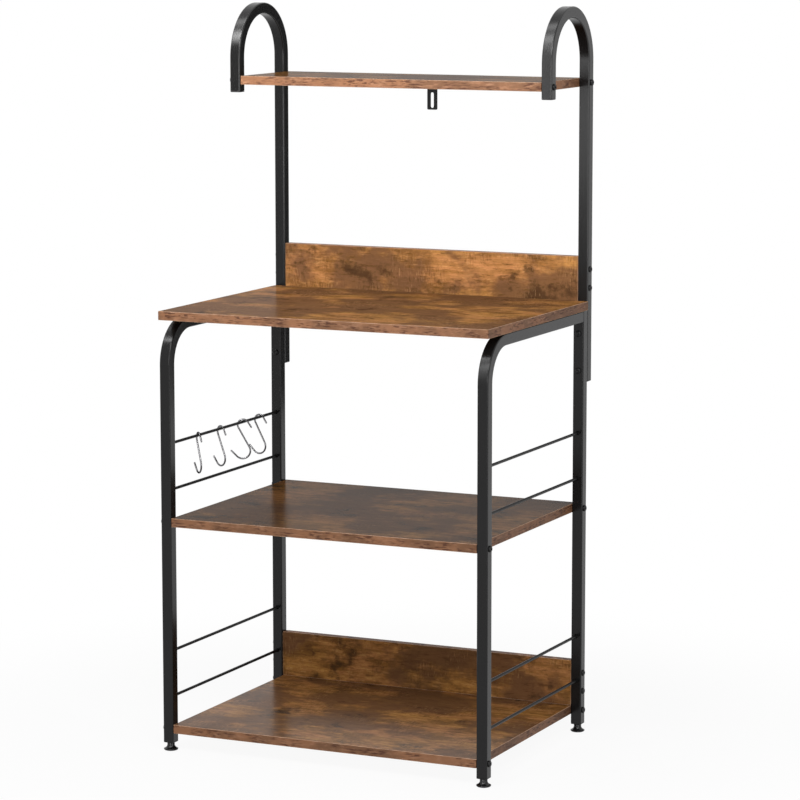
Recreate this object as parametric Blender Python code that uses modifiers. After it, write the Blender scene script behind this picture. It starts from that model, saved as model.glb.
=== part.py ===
"""Microwave stand: two tube side frames, two cane-shaped hutch tubes, six laminate boards and their bolts.

X runs along the shelves, Y from the front to the wall and Z up from the floor. All sizes are in metres.
"""

import math

import bmesh
import bpy
from mathutils import Matrix, Vector

# Overall sizes
WORKTOP_WIDTH = 0.600
WORKTOP_DEPTH = 0.430
OVERALL_HEIGHT = 1.2535

# Heights of the boards' upper faces, and how far the top shelf's lies below the hutch tubes' top
BOTTOM_SHELF_TOP = 0.0464
MIDDLE_SHELF_TOP = 0.4018
WORKTOP_TOP = 0.7512
TOP_SHELF_DROP = 0.1229

# Square tube and its bends
TUBE = 0.019
TUBE_WALL = 0.0012
TUBE_CORNER = 0.0022
FRONT_BEND_RADIUS = 0.067
FRONT_BEND_STEPS = 8
CANE_ARCH_STEPS = 16
CORNER_STEPS = 2

# Boards, and how the frames stand in from the worktop's edges
BOARD = 0.015
BOARD_EASE = 0.0006
FRAME_INSET_SIDE = 0.001
FRAME_INSET_FRONT = 0.0015
BACK_BOARD_HEIGHT = 0.080
UPPER_BACK_BOARD_DROP = 0.004
TOP_SHELF_SETBACK = 0.0015

# Canes
CANE_DEPTH = 0.1865
CANE_LAP = 0.1217
CANE_LEG_DROP = 0.0111

# Guard rods of the side frames, counted up from each shelf
ROD_RADIUS = 0.0025
ROD_SIDES = 12
LOWER_ROD_RISE = 0.0454
ROD_PITCH = 0.0788

# Clear gap between pieces that touch, how far a cutter runs past what it cuts, and what counts as one point
GAP = 0.0003
OVERRUN = 0.002
MERGE = 0.00001

# Socket button-head bolts
BOLT_RADIUS = 0.003
BOLT_HEAD_RADIUS = 0.0054
BOLT_HEAD_HEIGHT = 0.0028
BOLT_HEAD_EDGE = 0.0008
BOLT_CROWN_RADIUS = 0.0034
BOLT_SOCKET_RADIUS = 0.0022
BOLT_SOCKET_DEPTH = 0.0016
BOLT_BITE = 0.012
BOLT_STEPS = 12
SOCKET_SIDES = 6
BACK_BOLT_FIRST = 0.026
BACK_BOLT_PITCH = 0.032
CANE_BOLT_FIRST = 0.019
CANE_BOLT_PITCH = 0.064
RAIL_BOLT_MARGIN = 0.030
RAIL_BOLT_ACCESS_RADIUS = 0.0064

# Levelling feet and the threaded plugs that carry them
LEG_RISE = 0.016
PLUG_FLANGE = 0.0015
PLUG_DEPTH = 0.015
STUD_RADIUS = 0.004
STUD_RISE = 0.0195
STUD_BURY = 0.009
PAD_RADIUS = 0.0123
PAD_NECK_RADIUS = 0.0064
PAD_EDGE_HEIGHT = 0.003
PAD_NECK_HEIGHT = 0.0085
PAD_EASE = 0.0005
PAD_UNDERCUT = 0.0018
PAD_FACE_RADIUS = 0.0093
PAD_STEPS = 16
STUD_STEPS = 12

# End caps of the canes
CAP_FLANGE = 0.002
CAP_DEPTH = 0.011

# Wall bracket under the top shelf
BRACKET_WIDTH = 0.0188
BRACKET_DROP = 0.0458
BRACKET_REACH = 0.024
BRACKET_THICKNESS = 0.002
BRACKET_CORNER = 0.002
SLOT_WIDTH = 0.0063
SLOT_LENGTH = 0.027
SLOT_MARGIN = 0.0031
SLOT_STEPS = 8
WOOD_SCREW_RADIUS = 0.00175
WOOD_SCREW_LENGTH = 0.012
WOOD_SCREW_HEAD_RADIUS = 0.0038
WOOD_SCREW_HEAD_HEIGHT = 0.0022

# Wire S-hooks on the left frame's uppermost rod
HOOK_WIRE_RADIUS = 0.0015
HOOK_UPPER_RADIUS = 0.0097
HOOK_LOWER_RADIUS = 0.0138
HOOK_CENTRES = 0.046
HOOK_UPPER_TIP = 0.0125
HOOK_LOWER_TIP = 0.0155
HOOK_UPPER_OPEN = math.radians(35)
HOOK_LOWER_OPEN = math.radians(47)
HOOK_ARC_STEPS = 10
HOOK_PLACE_SHARES = (0.2754, 0.4644, 0.6593, 0.8051)
HOOK_YAWS = (math.radians(-42), math.radians(-26.5), math.radians(22), math.radians(-6))

# Places worked out from the sizes above
FRAME_WIDTH = WORKTOP_WIDTH - 2 * FRAME_INSET_SIDE
FRAME_DEPTH = WORKTOP_DEPTH - FRAME_INSET_FRONT
WORKTOP_FRONT = -(WORKTOP_DEPTH + TUBE) / 2
LEG_FRONT = WORKTOP_FRONT + FRAME_INSET_FRONT
POST_BACK = LEG_FRONT + FRAME_DEPTH
CANE_BACK = POST_BACK + TUBE
FRONT_LEG_Y = LEG_FRONT + TUBE / 2
POST_Y = POST_BACK - TUBE / 2
CANE_Y = POST_BACK + TUBE / 2
CANE_LEG_Y = CANE_BACK - CANE_DEPTH + TUBE / 2
TUBE_X = FRAME_WIDTH / 2 - TUBE / 2
TOP_SHELF_TOP = OVERALL_HEIGHT - TOP_SHELF_DROP
RAIL_TOP = WORKTOP_TOP - BOARD - GAP
POST_TOP = RAIL_TOP
CANE_BOTTOM = WORKTOP_TOP - BOARD - CANE_LAP
CANE_LEG_BOTTOM = TOP_SHELF_TOP - BOARD - CANE_LEG_DROP
CANE_ARCH_RADIUS = (CANE_DEPTH - TUBE) / 2
BETWEEN_FRAMES = FRAME_WIDTH - 2 * TUBE - 2 * GAP
BOLT_HOLE_RADIUS = BOLT_RADIUS + GAP
LEG_BOTTOM = LEG_RISE
CAP_SIDE = TUBE - 2 * TUBE_WALL - 2 * GAP
SIDES = (("left", -1), ("right", 1))
ENDS = (("front", FRONT_LEG_Y), ("rear", POST_Y))


def start_scene():
    """Empty the scene and return the collections for the parts and for the cutters."""
    for old in list(bpy.data.objects):
        bpy.data.objects.remove(old, do_unlink=True)
    parts = bpy.data.collections.new("microwave_stand")
    cutters = bpy.data.collections.new("cutters")
    cutters.hide_render = True
    for collection in (parts, cutters):
        bpy.context.scene.collection.children.link(collection)
    return parts, cutters


PARTS, CUTTERS = start_scene()


def material(name, colour, roughness, metallic=0.0):
    made = bpy.data.materials.new(name)
    made.use_nodes = True
    made.diffuse_color = (*colour, 1.0)
    shader = made.node_tree.nodes["Principled BSDF"]
    shader.inputs["Base Color"].default_value = (*colour, 1.0)
    shader.inputs["Roughness"].default_value = roughness
    shader.inputs["Metallic"].default_value = metallic
    return made


def powder_coated_steel(name):
    return material(name, (0.018, 0.017, 0.018), 0.38)


def rustic_laminate(name):
    return material(name, (0.21, 0.105, 0.05), 0.5)


def black_oxide_bolt(name):
    return material(name, (0.012, 0.012, 0.013), 0.32, 0.6)


def black_plastic(name):
    return material(name, (0.015, 0.015, 0.016), 0.45)


def zinc_steel(name):
    return material(name, (0.55, 0.56, 0.58), 0.3, 1.0)


def chrome_wire(name):
    return material(name, (0.78, 0.79, 0.8), 0.08, 1.0)


def place(mesh, name, finish, location=(0, 0, 0), turn=None):
    """Put a mesh in the scene as a named part."""
    part = bpy.data.objects.new(name, mesh)
    PARTS.objects.link(part)
    part.location = location
    if turn is not None:
        part.rotation_euler = turn.to_euler()
    mesh.materials.clear()
    mesh.materials.append(finish)
    return part


def cutter(mesh, name, location=(0, 0, 0), turn=None):
    """Put a mesh in the scene as a hidden cutter."""
    tool = bpy.data.objects.new(name, mesh)
    CUTTERS.objects.link(tool)
    tool.location = location
    if turn is not None:
        tool.rotation_euler = turn.to_euler()
    tool.hide_render = True
    tool.display_type = "WIRE"
    return tool


def combine(part, tool, operation):
    boolean = part.modifiers.new(tool.name, "BOOLEAN")
    boolean.operation = operation
    boolean.solver = "EXACT"
    boolean.object = tool


def baked(part):
    """The part's mesh with its modifiers applied, in its own axes. The part is removed."""
    bpy.context.view_layer.update()
    graph = bpy.context.evaluated_depsgraph_get()
    mesh = bpy.data.meshes.new_from_object(part.evaluated_get(graph))
    bpy.data.objects.remove(part, do_unlink=True)
    return mesh


def rounded(mesh, sharp_angle=math.radians(40)):
    mesh.shade_smooth()
    mesh.set_sharp_from_angle(angle=sharp_angle)
    return mesh


def facing(outward):
    """The turn that takes +Z to the outward direction."""
    return Vector((0, 0, 1)).rotation_difference(Vector(outward)).to_matrix()


def cylinder(name, radius, length, sides):
    """A cylinder along Z about its own middle."""
    bm = bmesh.new()
    bmesh.ops.create_cone(bm, cap_ends=True, segments=sides, radius1=radius, radius2=radius, depth=length)
    mesh = bpy.data.meshes.new(name)
    bm.to_mesh(mesh)
    bm.free()
    return rounded(mesh)


def turned(name, profile, steps):
    """A solid of revolution about Z from a profile of (radius, height) that runs down its outer side."""
    mesh = bpy.data.meshes.new(name)
    points = [(radius, 0, height) for radius, height in profile]
    mesh.from_pydata(points, [(i, i + 1) for i in range(len(points) - 1)], [])
    blank = cutter(mesh, name)
    screw = blank.modifiers.new("turn", "SCREW")
    screw.steps = steps
    screw.render_steps = steps
    screw.use_merge_vertices = True
    screw.merge_threshold = MERGE
    return rounded(baked(blank))


def square_outline(side, corner):
    """Points of a square with rounded corners, anticlockwise."""
    points = []
    reach = side / 2 - corner
    for quarter in range(4):
        middle = math.radians(45 + 90 * quarter)
        across = math.copysign(reach, math.cos(middle))
        along = math.copysign(reach, math.sin(middle))
        for step in range(CORNER_STEPS + 1):
            angle = math.radians(90) * (quarter + step / CORNER_STEPS)
            points.append((across + corner * math.cos(angle), along + corner * math.sin(angle)))
    return points


def square_ring(bm, side, height):
    """The edges of a rounded square at a height, with corners in the tube's proportions."""
    outline = square_outline(side, TUBE_CORNER * side / TUBE)
    verts = [bm.verts.new((across, along, height)) for across, along in outline]
    return [bm.edges.new(pair) for pair in zip(verts, verts[1:] + verts[:1])]


def grow(bm, ring):
    """Extrude a ring of edges on the spot. Returns the new edges and their corners."""
    grown = bmesh.ops.extrude_edge_only(bm, edges=ring)["geom"]
    edges = [item for item in grown if isinstance(item, bmesh.types.BMEdge)]
    verts = [item for item in grown if isinstance(item, bmesh.types.BMVert)]
    return edges, verts


def stacked_squares(name, levels):
    """A solid that grows upwards from a rounded square, through levels of (height, side)."""
    height, side = levels[0]
    bm = bmesh.new()
    ring = square_ring(bm, side, height)
    bmesh.ops.edgeloop_fill(bm, edges=ring)
    for next_height, next_side in levels[1:]:
        ring, verts = grow(bm, ring)
        bmesh.ops.scale(bm, verts=verts, vec=(next_side / side, next_side / side, 1))
        bmesh.ops.translate(bm, verts=verts, vec=(0, 0, next_height - height))
        height, side = next_height, next_side
    bmesh.ops.edgeloop_fill(bm, edges=ring)
    bmesh.ops.recalc_face_normals(bm, faces=bm.faces)
    mesh = bpy.data.meshes.new(name)
    bm.to_mesh(mesh)
    bm.free()
    return mesh


def square_tube(name, moves, finish, location):
    """A hollow square tube that starts at the location, heading up, and stays in its own YZ plane.

    Each move is a straight length, or a bend of a radius and an angle: positive angles bend to the front.
    """
    bm = bmesh.new()
    heading = Vector((0, 0, 1))
    end = Vector()
    ring = square_ring(bm, TUBE, 0)
    for kind, size, angle, steps in moves:
        if kind == "straight":
            ring, verts = grow(bm, ring)
            bmesh.ops.translate(bm, verts=verts, vec=heading * size)
            end = end + heading * size
        else:
            inward = Matrix.Rotation(math.copysign(math.radians(90), angle), 3, "X") @ heading
            centre = end + inward * size
            swept = bmesh.ops.spin(bm, geom=ring, cent=centre, axis=(1, 0, 0), angle=angle, steps=steps)
            ring = [item for item in swept["geom_last"] if isinstance(item, bmesh.types.BMEdge)]
            turn = Matrix.Rotation(angle, 3, "X")
            end = centre + turn @ (end - centre)
            heading = turn @ heading
    bmesh.ops.recalc_face_normals(bm, faces=bm.faces)
    mesh = bpy.data.meshes.new(name)
    bm.to_mesh(mesh)
    bm.free()
    tube = place(rounded(mesh, math.radians(50)), name, finish, location)
    wall = tube.modifiers.new("wall", "SOLIDIFY")
    wall.thickness = TUBE_WALL
    wall.offset = -1
    wall.use_even_offset = True
    return tube


def straight(length):
    return ("straight", length, 0, 0)


def bend(radius, angle, steps):
    return ("bend", radius, angle, steps)


def bolt_mesh(name, length):
    """A button-head bolt with a hexagonal socket. Its head stands on the plane z = 0, its shank below."""
    profile = (
        (0, BOLT_HEAD_HEIGHT),
        (BOLT_CROWN_RADIUS, BOLT_HEAD_HEIGHT),
        (BOLT_HEAD_RADIUS, BOLT_HEAD_EDGE),
        (BOLT_HEAD_RADIUS, 0),
        (BOLT_RADIUS, 0),
        (BOLT_RADIUS, -length),
        (0, -length),
    )
    blank = cutter(turned(name, profile, BOLT_STEPS), name)
    socket_length = BOLT_SOCKET_DEPTH + OVERRUN
    socket = cutter(
        cylinder(name + "_socket", BOLT_SOCKET_RADIUS, socket_length, SOCKET_SIDES),
        name + "_socket",
        (0, 0, BOLT_HEAD_HEIGHT - BOLT_SOCKET_DEPTH + socket_length / 2),
        Matrix.Rotation(math.pi / BOLT_STEPS, 3, "Z"),
    )
    combine(blank, socket, "DIFFERENCE")
    made = rounded(baked(blank))
    bpy.data.objects.remove(socket, do_unlink=True)
    return made


def drill(part, name, point, outward, depth):
    """Cut a bolt's clearance hole that starts at the point and goes in against the outward direction."""
    length = depth + OVERRUN
    middle = Vector(point) + Vector(outward) * (OVERRUN - length / 2)
    tool = cutter(cylinder(name, BOLT_HOLE_RADIUS, length, BOLT_STEPS), name, middle, facing(outward))
    combine(part, tool, "DIFFERENCE")


def fit_bolt(name, mesh, seat, outward, tube, board, bite):
    """A separate bolt through a tube into a board or a second tube, with its clearance holes."""
    outward = Vector(outward)
    seat = Vector(seat)
    drill(tube, name + "_tube_hole", seat, outward, TUBE + OVERRUN)
    drill(board, name + "_board_hole", seat - outward * TUBE, outward, bite + GAP)
    return place(mesh.copy(), name, BOLT_FINISH, seat + outward * GAP, facing(outward))


def fuse_bolt(name, mesh, seat, outward, tube, passed, board):
    """A bolt that is one piece with its tube, and its clearance hole in the board.

    passed is the thickness between the bolt's seat and the board.
    """
    outward = Vector(outward)
    seat = Vector(seat)
    combine(tube, cutter(mesh.copy(), name, seat - outward * GAP, facing(outward)), "UNION")
    drill(board, name + "_board_hole", seat - outward * passed, outward, BOLT_BITE + 2 * GAP)


def front_tube(side, sign):
    """Front leg that bends back into the rail under the worktop, one tube."""
    leg = RAIL_TOP - TUBE / 2 - FRONT_BEND_RADIUS - LEG_BOTTOM
    rail = POST_Y - TUBE / 2 - GAP - FRONT_LEG_Y - FRONT_BEND_RADIUS
    moves = (straight(leg), bend(FRONT_BEND_RADIUS, -math.radians(90), FRONT_BEND_STEPS), straight(rail))
    finish = powder_coated_steel(side + "_front_leg_and_rail")
    return square_tube(side + "_front_leg_and_rail", moves, finish, (sign * TUBE_X, FRONT_LEG_Y, LEG_BOTTOM))


def rear_post(side, sign):
    """Straight post with its foot's plug in the lower end and its top against the worktop."""
    moves = (straight(POST_TOP - LEG_BOTTOM),)
    finish = powder_coated_steel(side + "_rear_post")
    return square_tube(side + "_rear_post", moves, finish, (sign * TUBE_X, POST_Y, LEG_BOTTOM))


def cane(side, sign):
    """Hutch tube: up behind the rear post, over in a half round and down to a short front leg."""
    spring = OVERALL_HEIGHT - TUBE / 2 - CANE_ARCH_RADIUS
    moves = (
        straight(spring - CANE_BOTTOM),
        bend(CANE_ARCH_RADIUS, math.radians(180), CANE_ARCH_STEPS),
        straight(spring - CANE_LEG_BOTTOM),
    )
    finish = powder_coated_steel(side + "_hutch_tube")
    return square_tube(side + "_hutch_tube", moves, finish, (sign * TUBE_X, CANE_Y, CANE_BOTTOM))


def guard_rods(side, sign):
    """Four round rods from the front leg to the rear post, two above each lower shelf."""
    length = FRAME_DEPTH - 2 * TUBE - 2 * GAP
    middle = (FRONT_LEG_Y + POST_Y) / 2
    number = 0
    for shelf_top in (BOTTOM_SHELF_TOP, MIDDLE_SHELF_TOP):
        for row in range(2):
            number += 1
            name = f"{side}_guard_rod_{number}"
            height = shelf_top + LOWER_ROD_RISE + row * ROD_PITCH
            rod = cylinder(name, ROD_RADIUS, length, ROD_SIDES)
            place(rod, name, powder_coated_steel(name), (sign * TUBE_X, middle, height), facing((0, 1, 0)))


def board(name, width, depth, height, centre):
    """A laminate board with eased edges."""
    bm = bmesh.new()
    bmesh.ops.create_cube(bm, size=1, matrix=Matrix.Diagonal((width, depth, height, 1)))
    mesh = bpy.data.meshes.new(name)
    bm.to_mesh(mesh)
    bm.free()
    made = place(mesh, name, rustic_laminate(name), centre)
    ease = made.modifiers.new("eased_edges", "BEVEL")
    ease.width = BOARD_EASE
    ease.segments = 1
    return made


def make_boards():
    """The worktop, three shelves and two back boards, by name."""
    frame_middle = (LEG_FRONT + POST_BACK) / 2
    cane_middle = CANE_BACK - CANE_DEPTH / 2
    upper_bottom = WORKTOP_TOP - UPPER_BACK_BOARD_DROP
    lower_bottom = BOTTOM_SHELF_TOP + GAP
    return {
        "bottom_shelf": board(
            "bottom_shelf",
            BETWEEN_FRAMES,
            FRAME_DEPTH,
            BOARD,
            (0, frame_middle, BOTTOM_SHELF_TOP - BOARD / 2),
        ),
        "middle_shelf": board(
            "middle_shelf",
            BETWEEN_FRAMES,
            FRAME_DEPTH,
            BOARD,
            (0, frame_middle, MIDDLE_SHELF_TOP - BOARD / 2),
        ),
        "worktop": board(
            "worktop",
            WORKTOP_WIDTH,
            WORKTOP_DEPTH - GAP,
            BOARD,
            (0, WORKTOP_FRONT + (WORKTOP_DEPTH - GAP) / 2, WORKTOP_TOP - BOARD / 2),
        ),
        "top_shelf": board(
            "top_shelf",
            BETWEEN_FRAMES,
            CANE_DEPTH - 2 * TOP_SHELF_SETBACK,
            BOARD,
            (0, cane_middle, TOP_SHELF_TOP - BOARD / 2),
        ),
        "lower_back_board": board(
            "lower_back_board",
            BETWEEN_FRAMES,
            BOARD,
            BACK_BOARD_HEIGHT,
            (0, POST_Y, lower_bottom + BACK_BOARD_HEIGHT / 2),
        ),
        "upper_back_board": board(
            "upper_back_board",
            BETWEEN_FRAMES,
            BOARD,
            BACK_BOARD_HEIGHT,
            (0, CANE_Y, upper_bottom + BACK_BOARD_HEIGHT / 2),
        ),
    }


def bolt_shelf(shelf, height, legs, tubes):
    """Four bolts through the tubes into a shelf's ends. legs names each end's depth, tubes its two tubes."""
    for side, sign in SIDES:
        for end, depth in legs:
            name = f"{shelf.name}_bolt_{side}_{end}"
            seat = (sign * FRAME_WIDTH / 2, depth, height - BOARD / 2)
            fit_bolt(name, SIDE_BOLT, seat, (sign, 0, 0), tubes[side, end], shelf, BOLT_BITE)


def bolt_back_board(back_board, bottom, depth, tubes):
    """Two bolts at each end of a back board, each one piece with the tube that it passes."""
    for side, sign in SIDES:
        for row in range(2):
            height = bottom + BACK_BOLT_FIRST + row * BACK_BOLT_PITCH
            name = f"{back_board.name}_bolt_{side}_{row + 1}"
            seat = (sign * FRAME_WIDTH / 2, depth, height)
            fuse_bolt(name, SIDE_BOLT, seat, (sign, 0, 0), tubes[side], TUBE, back_board)


def bolt_canes(posts, canes):
    """Two bolts on each side, from the post's front face into the hutch tube behind it."""
    for side, sign in SIDES:
        for row in range(2):
            height = CANE_BOTTOM + CANE_BOLT_FIRST + row * CANE_BOLT_PITCH
            name = f"hutch_tube_bolt_{side}_{row + 1}"
            seat = (sign * TUBE_X, POST_Y - TUBE / 2, height)
            fit_bolt(name, CANE_BOLT, seat, (0, -1, 0), posts[side], canes[side], CANE_BITE)


def bolt_worktop(fronts, worktop):
    """Two screws on each side, each one piece with its rail.

    The head lies inside the rail, against its upper wall. A key reaches it through a hole in the lower wall.
    """
    first = FRONT_LEG_Y + FRONT_BEND_RADIUS + RAIL_BOLT_MARGIN
    last = POST_Y - TUBE / 2 - RAIL_BOLT_MARGIN
    for side, sign in SIDES:
        for end, depth in (("front", first), ("rear", last)):
            name = f"worktop_bolt_{side}_{end}"
            access = cylinder(name + "_access", RAIL_BOLT_ACCESS_RADIUS, TUBE_WALL + 2 * OVERRUN, BOLT_STEPS)
            lower_wall = (sign * TUBE_X, depth, RAIL_TOP - TUBE + TUBE_WALL / 2)
            combine(fronts[side], cutter(access, name + "_access", lower_wall), "DIFFERENCE")
            seat = (sign * TUBE_X, depth, RAIL_TOP - TUBE_WALL)
            fuse_bolt(name, RAIL_BOLT, seat, (0, 0, -1), fronts[side], TUBE_WALL + GAP, worktop)


def leg_plug(name, location):
    """Square plug in a leg's end, with the threaded hole for the foot's stud. Its flange closes the tube."""
    mesh = stacked_squares(name, ((-PLUG_FLANGE, TUBE), (0, TUBE), (0, CAP_SIDE), (PLUG_DEPTH, CAP_SIDE)))
    plug = place(mesh, name, black_plastic(name), location)
    length = PLUG_FLANGE + PLUG_DEPTH + 2 * OVERRUN
    middle = Vector(location) + Vector((0, 0, (PLUG_DEPTH - PLUG_FLANGE) / 2))
    hole = cylinder(name + "_hole", STUD_RADIUS + GAP, length, STUD_STEPS)
    combine(plug, cutter(hole, name + "_hole", middle), "DIFFERENCE")


def foot_pad(name, location):
    """Flared plastic foot with a round neck. Its origin is the middle of its face on the floor."""
    neck_top = LEG_RISE - PLUG_FLANGE - 2 * GAP
    socket = neck_top - STUD_BURY - GAP
    profile = (
        (0, socket),
        (STUD_RADIUS + GAP, socket),
        (STUD_RADIUS + GAP, neck_top),
        (PAD_NECK_RADIUS, neck_top),
        (PAD_NECK_RADIUS, PAD_NECK_HEIGHT),
        ((2 * PAD_NECK_RADIUS + PAD_RADIUS) / 3, (2 * PAD_NECK_HEIGHT + PAD_EDGE_HEIGHT) / 3),
        (PAD_RADIUS - PAD_EASE, PAD_EDGE_HEIGHT + PAD_EASE),
        (PAD_RADIUS, PAD_EDGE_HEIGHT),
        (PAD_RADIUS, PAD_UNDERCUT),
        (PAD_FACE_RADIUS, 0),
        (0, 0),
    )
    place(turned(name, profile, PAD_STEPS), name, black_plastic(name), location)


def foot_stud(name, location):
    """Steel stud from the foot up into the plug. Its origin is the middle of the foot on the floor."""
    neck_top = LEG_RISE - PLUG_FLANGE - 2 * GAP
    low = neck_top - STUD_BURY
    high = neck_top + STUD_RISE
    profile = ((0, high), (STUD_RADIUS, high), (STUD_RADIUS, low), (0, low))
    place(turned(name, profile, STUD_STEPS), name, zinc_steel(name), location)


def make_feet():
    for side, sign in SIDES:
        for end, depth in ENDS:
            where = f"{side}_{end}"
            leg_plug(f"leg_plug_{where}", (sign * TUBE_X, depth, LEG_BOTTOM - GAP))
            foot_pad(f"foot_pad_{where}", (sign * TUBE_X, depth, 0))
            foot_stud(f"foot_stud_{where}", (sign * TUBE_X, depth, 0))


def cane_caps():
    """Plastic caps in the two open ends of each hutch tube, both facing down."""
    for side, sign in SIDES:
        for end, depth, height in (("front", CANE_LEG_Y, CANE_LEG_BOTTOM), ("rear", CANE_Y, CANE_BOTTOM)):
            name = f"hutch_tube_cap_{side}_{end}"
            dome = ((-CAP_FLANGE, TUBE - 2 * TUBE_WALL), (-CAP_FLANGE / 2, TUBE), (0, TUBE))
            mesh = stacked_squares(name, dome + ((0, CAP_SIDE), (CAP_DEPTH, CAP_SIDE)))
            place(mesh, name, black_plastic(name), (sign * TUBE_X, depth, height - GAP))


def arc(across, up, radius, start, end, steps):
    """Points along an arc about a centre."""
    angles = [start + (end - start) * step / steps for step in range(steps + 1)]
    return [(across + radius * math.cos(angle), up + radius * math.sin(angle)) for angle in angles]


def flat_plate(name, outlines, thickness):
    """A plate in the XY plane about its own mid-thickness, from an outline and the outlines of its holes."""
    curve = bpy.data.curves.new(name, "CURVE")
    curve.dimensions = "2D"
    curve.fill_mode = "BOTH"
    curve.extrude = thickness / 2
    for outline in outlines:
        spline = curve.splines.new("POLY")
        spline.points.add(len(outline) - 1)
        for point, (across, along) in zip(spline.points, outline):
            point.co.xy = (across, along)
        spline.use_cyclic_u = True
    mesh = baked(cutter(curve, name))
    bm = bmesh.new()
    bm.from_mesh(mesh)
    bmesh.ops.remove_doubles(bm, verts=bm.verts, dist=MERGE)
    bm.to_mesh(mesh)
    bm.free()
    return mesh


def wall_bracket(shelf):
    """Angle strap under the rear edge of the top shelf, with a slot for a screw into the wall."""
    back = CANE_BACK - TOP_SHELF_SETBACK
    under = TOP_SHELF_TOP - BOARD - GAP
    half = BRACKET_WIDTH / 2
    low = -BRACKET_DROP
    reach = half - BRACKET_CORNER
    corner_up = low + BRACKET_CORNER
    straight_down = 1.5 * math.pi
    rim = [(half, 0), (-half, 0)]
    rim += arc(-reach, corner_up, BRACKET_CORNER, math.pi, straight_down, CORNER_STEPS)
    rim += arc(reach, corner_up, BRACKET_CORNER, straight_down, math.tau, CORNER_STEPS)
    slot_end = SLOT_WIDTH / 2
    slot_low = low + SLOT_MARGIN + slot_end
    slot_high = low + SLOT_MARGIN + SLOT_LENGTH - slot_end
    slot = arc(0, slot_high, slot_end, 0, math.pi, SLOT_STEPS)
    slot += arc(0, slot_low, slot_end, math.pi, math.tau, SLOT_STEPS)
    bracket = place(
        flat_plate("wall_bracket", (rim, slot), BRACKET_THICKNESS),
        "wall_bracket",
        powder_coated_steel("wall_bracket"),
        (0, back - BRACKET_THICKNESS / 2, under),
        Matrix.Rotation(math.radians(90), 3, "X"),
    )
    tab_rim = ((half, 0), (half, BRACKET_REACH), (-half, BRACKET_REACH), (-half, 0))
    hole_middle = (BRACKET_REACH - BRACKET_THICKNESS) / 2
    hole = arc(0, hole_middle, WOOD_SCREW_RADIUS + GAP, 0, math.tau, BOLT_STEPS)[:-1]
    tab_middle = (0, back - BRACKET_REACH, under - BRACKET_THICKNESS / 2)
    tab_mesh = flat_plate("wall_bracket_tab", (tab_rim, hole), BRACKET_THICKNESS)
    combine(bracket, cutter(tab_mesh, "wall_bracket_tab", tab_middle), "UNION")
    wood_screw(shelf, (0, back - BRACKET_REACH + hole_middle, under - BRACKET_THICKNESS))


def wood_screw(shelf, seat):
    """Pan-head screw up through the bracket into the top shelf."""
    profile = (
        (0, WOOD_SCREW_LENGTH),
        (WOOD_SCREW_RADIUS, WOOD_SCREW_LENGTH - 2 * WOOD_SCREW_RADIUS),
        (WOOD_SCREW_RADIUS, 0),
        (WOOD_SCREW_HEAD_RADIUS, 0),
        (WOOD_SCREW_HEAD_RADIUS, -WOOD_SCREW_HEAD_HEIGHT / 3),
        (WOOD_SCREW_HEAD_RADIUS / 2, -WOOD_SCREW_HEAD_HEIGHT),
        (0, -WOOD_SCREW_HEAD_HEIGHT),
    )
    mesh = turned("wall_bracket_screw", profile, BOLT_STEPS)
    seat = Vector(seat) - Vector((0, 0, GAP))
    place(mesh, "wall_bracket_screw", black_oxide_bolt("wall_bracket_screw"), seat)
    length = WOOD_SCREW_LENGTH + GAP
    hole = cylinder("wall_bracket_screw_hole", WOOD_SCREW_RADIUS + GAP, length, BOLT_STEPS)
    combine(shelf, cutter(hole, "wall_bracket_screw_hole", seat + Vector((0, 0, length / 2))), "DIFFERENCE")


def hook_line():
    """The wire's middle line: a small loop, a slanting stem and a larger loop, tilted to hang in balance.

    It is measured from the middle of the rod that the small loop hangs on.
    """
    lean = math.acos((HOOK_UPPER_RADIUS + HOOK_LOWER_RADIUS) / HOOK_CENTRES)
    upper = (HOOK_UPPER_OPEN, math.radians(270) - lean)
    lower = (math.radians(90) - lean, HOOK_LOWER_OPEN - math.pi)
    line = [Vector(point) for point in arc(0, 0, HOOK_UPPER_RADIUS, *upper, HOOK_ARC_STEPS)]
    line += [Vector(point) for point in arc(0, -HOOK_CENTRES, HOOK_LOWER_RADIUS, *lower, HOOK_ARC_STEPS)]
    upper_tip = Vector((math.sin(HOOK_UPPER_OPEN), -math.cos(HOOK_UPPER_OPEN))) * HOOK_UPPER_TIP
    lower_tip = Vector((-math.sin(HOOK_LOWER_OPEN), math.cos(HOOK_LOWER_OPEN))) * HOOK_LOWER_TIP
    line = [line[0] + upper_tip] + line + [line[-1] + lower_tip]
    moment = Vector((0, 0))
    for start, end in zip(line, line[1:]):
        moment += (end - start).length * (start + end)
    balance = Matrix.Rotation(-math.atan2(moment.x, -moment.y), 2)
    seat = Vector((0, HOOK_UPPER_RADIUS - HOOK_WIRE_RADIUS - GAP - ROD_RADIUS))
    return [balance @ point - seat for point in line]


def s_hook(name, location, yaw):
    """A chromed wire S-hook. Its origin is on the middle line of the rod, which it swings about."""
    curve = bpy.data.curves.new(name, "CURVE")
    curve.dimensions = "3D"
    curve.bevel_depth = HOOK_WIRE_RADIUS
    curve.bevel_resolution = 1
    curve.use_fill_caps = True
    line = hook_line()
    spline = curve.splines.new("POLY")
    spline.points.add(len(line) - 1)
    for point, place_on_line in zip(spline.points, line):
        point.co.xz = place_on_line
    hook = bpy.data.objects.new(name, curve)
    PARTS.objects.link(hook)
    hook.location = location
    hook.rotation_euler = (0, 0, yaw)
    curve.materials.append(chrome_wire(name))


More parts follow.
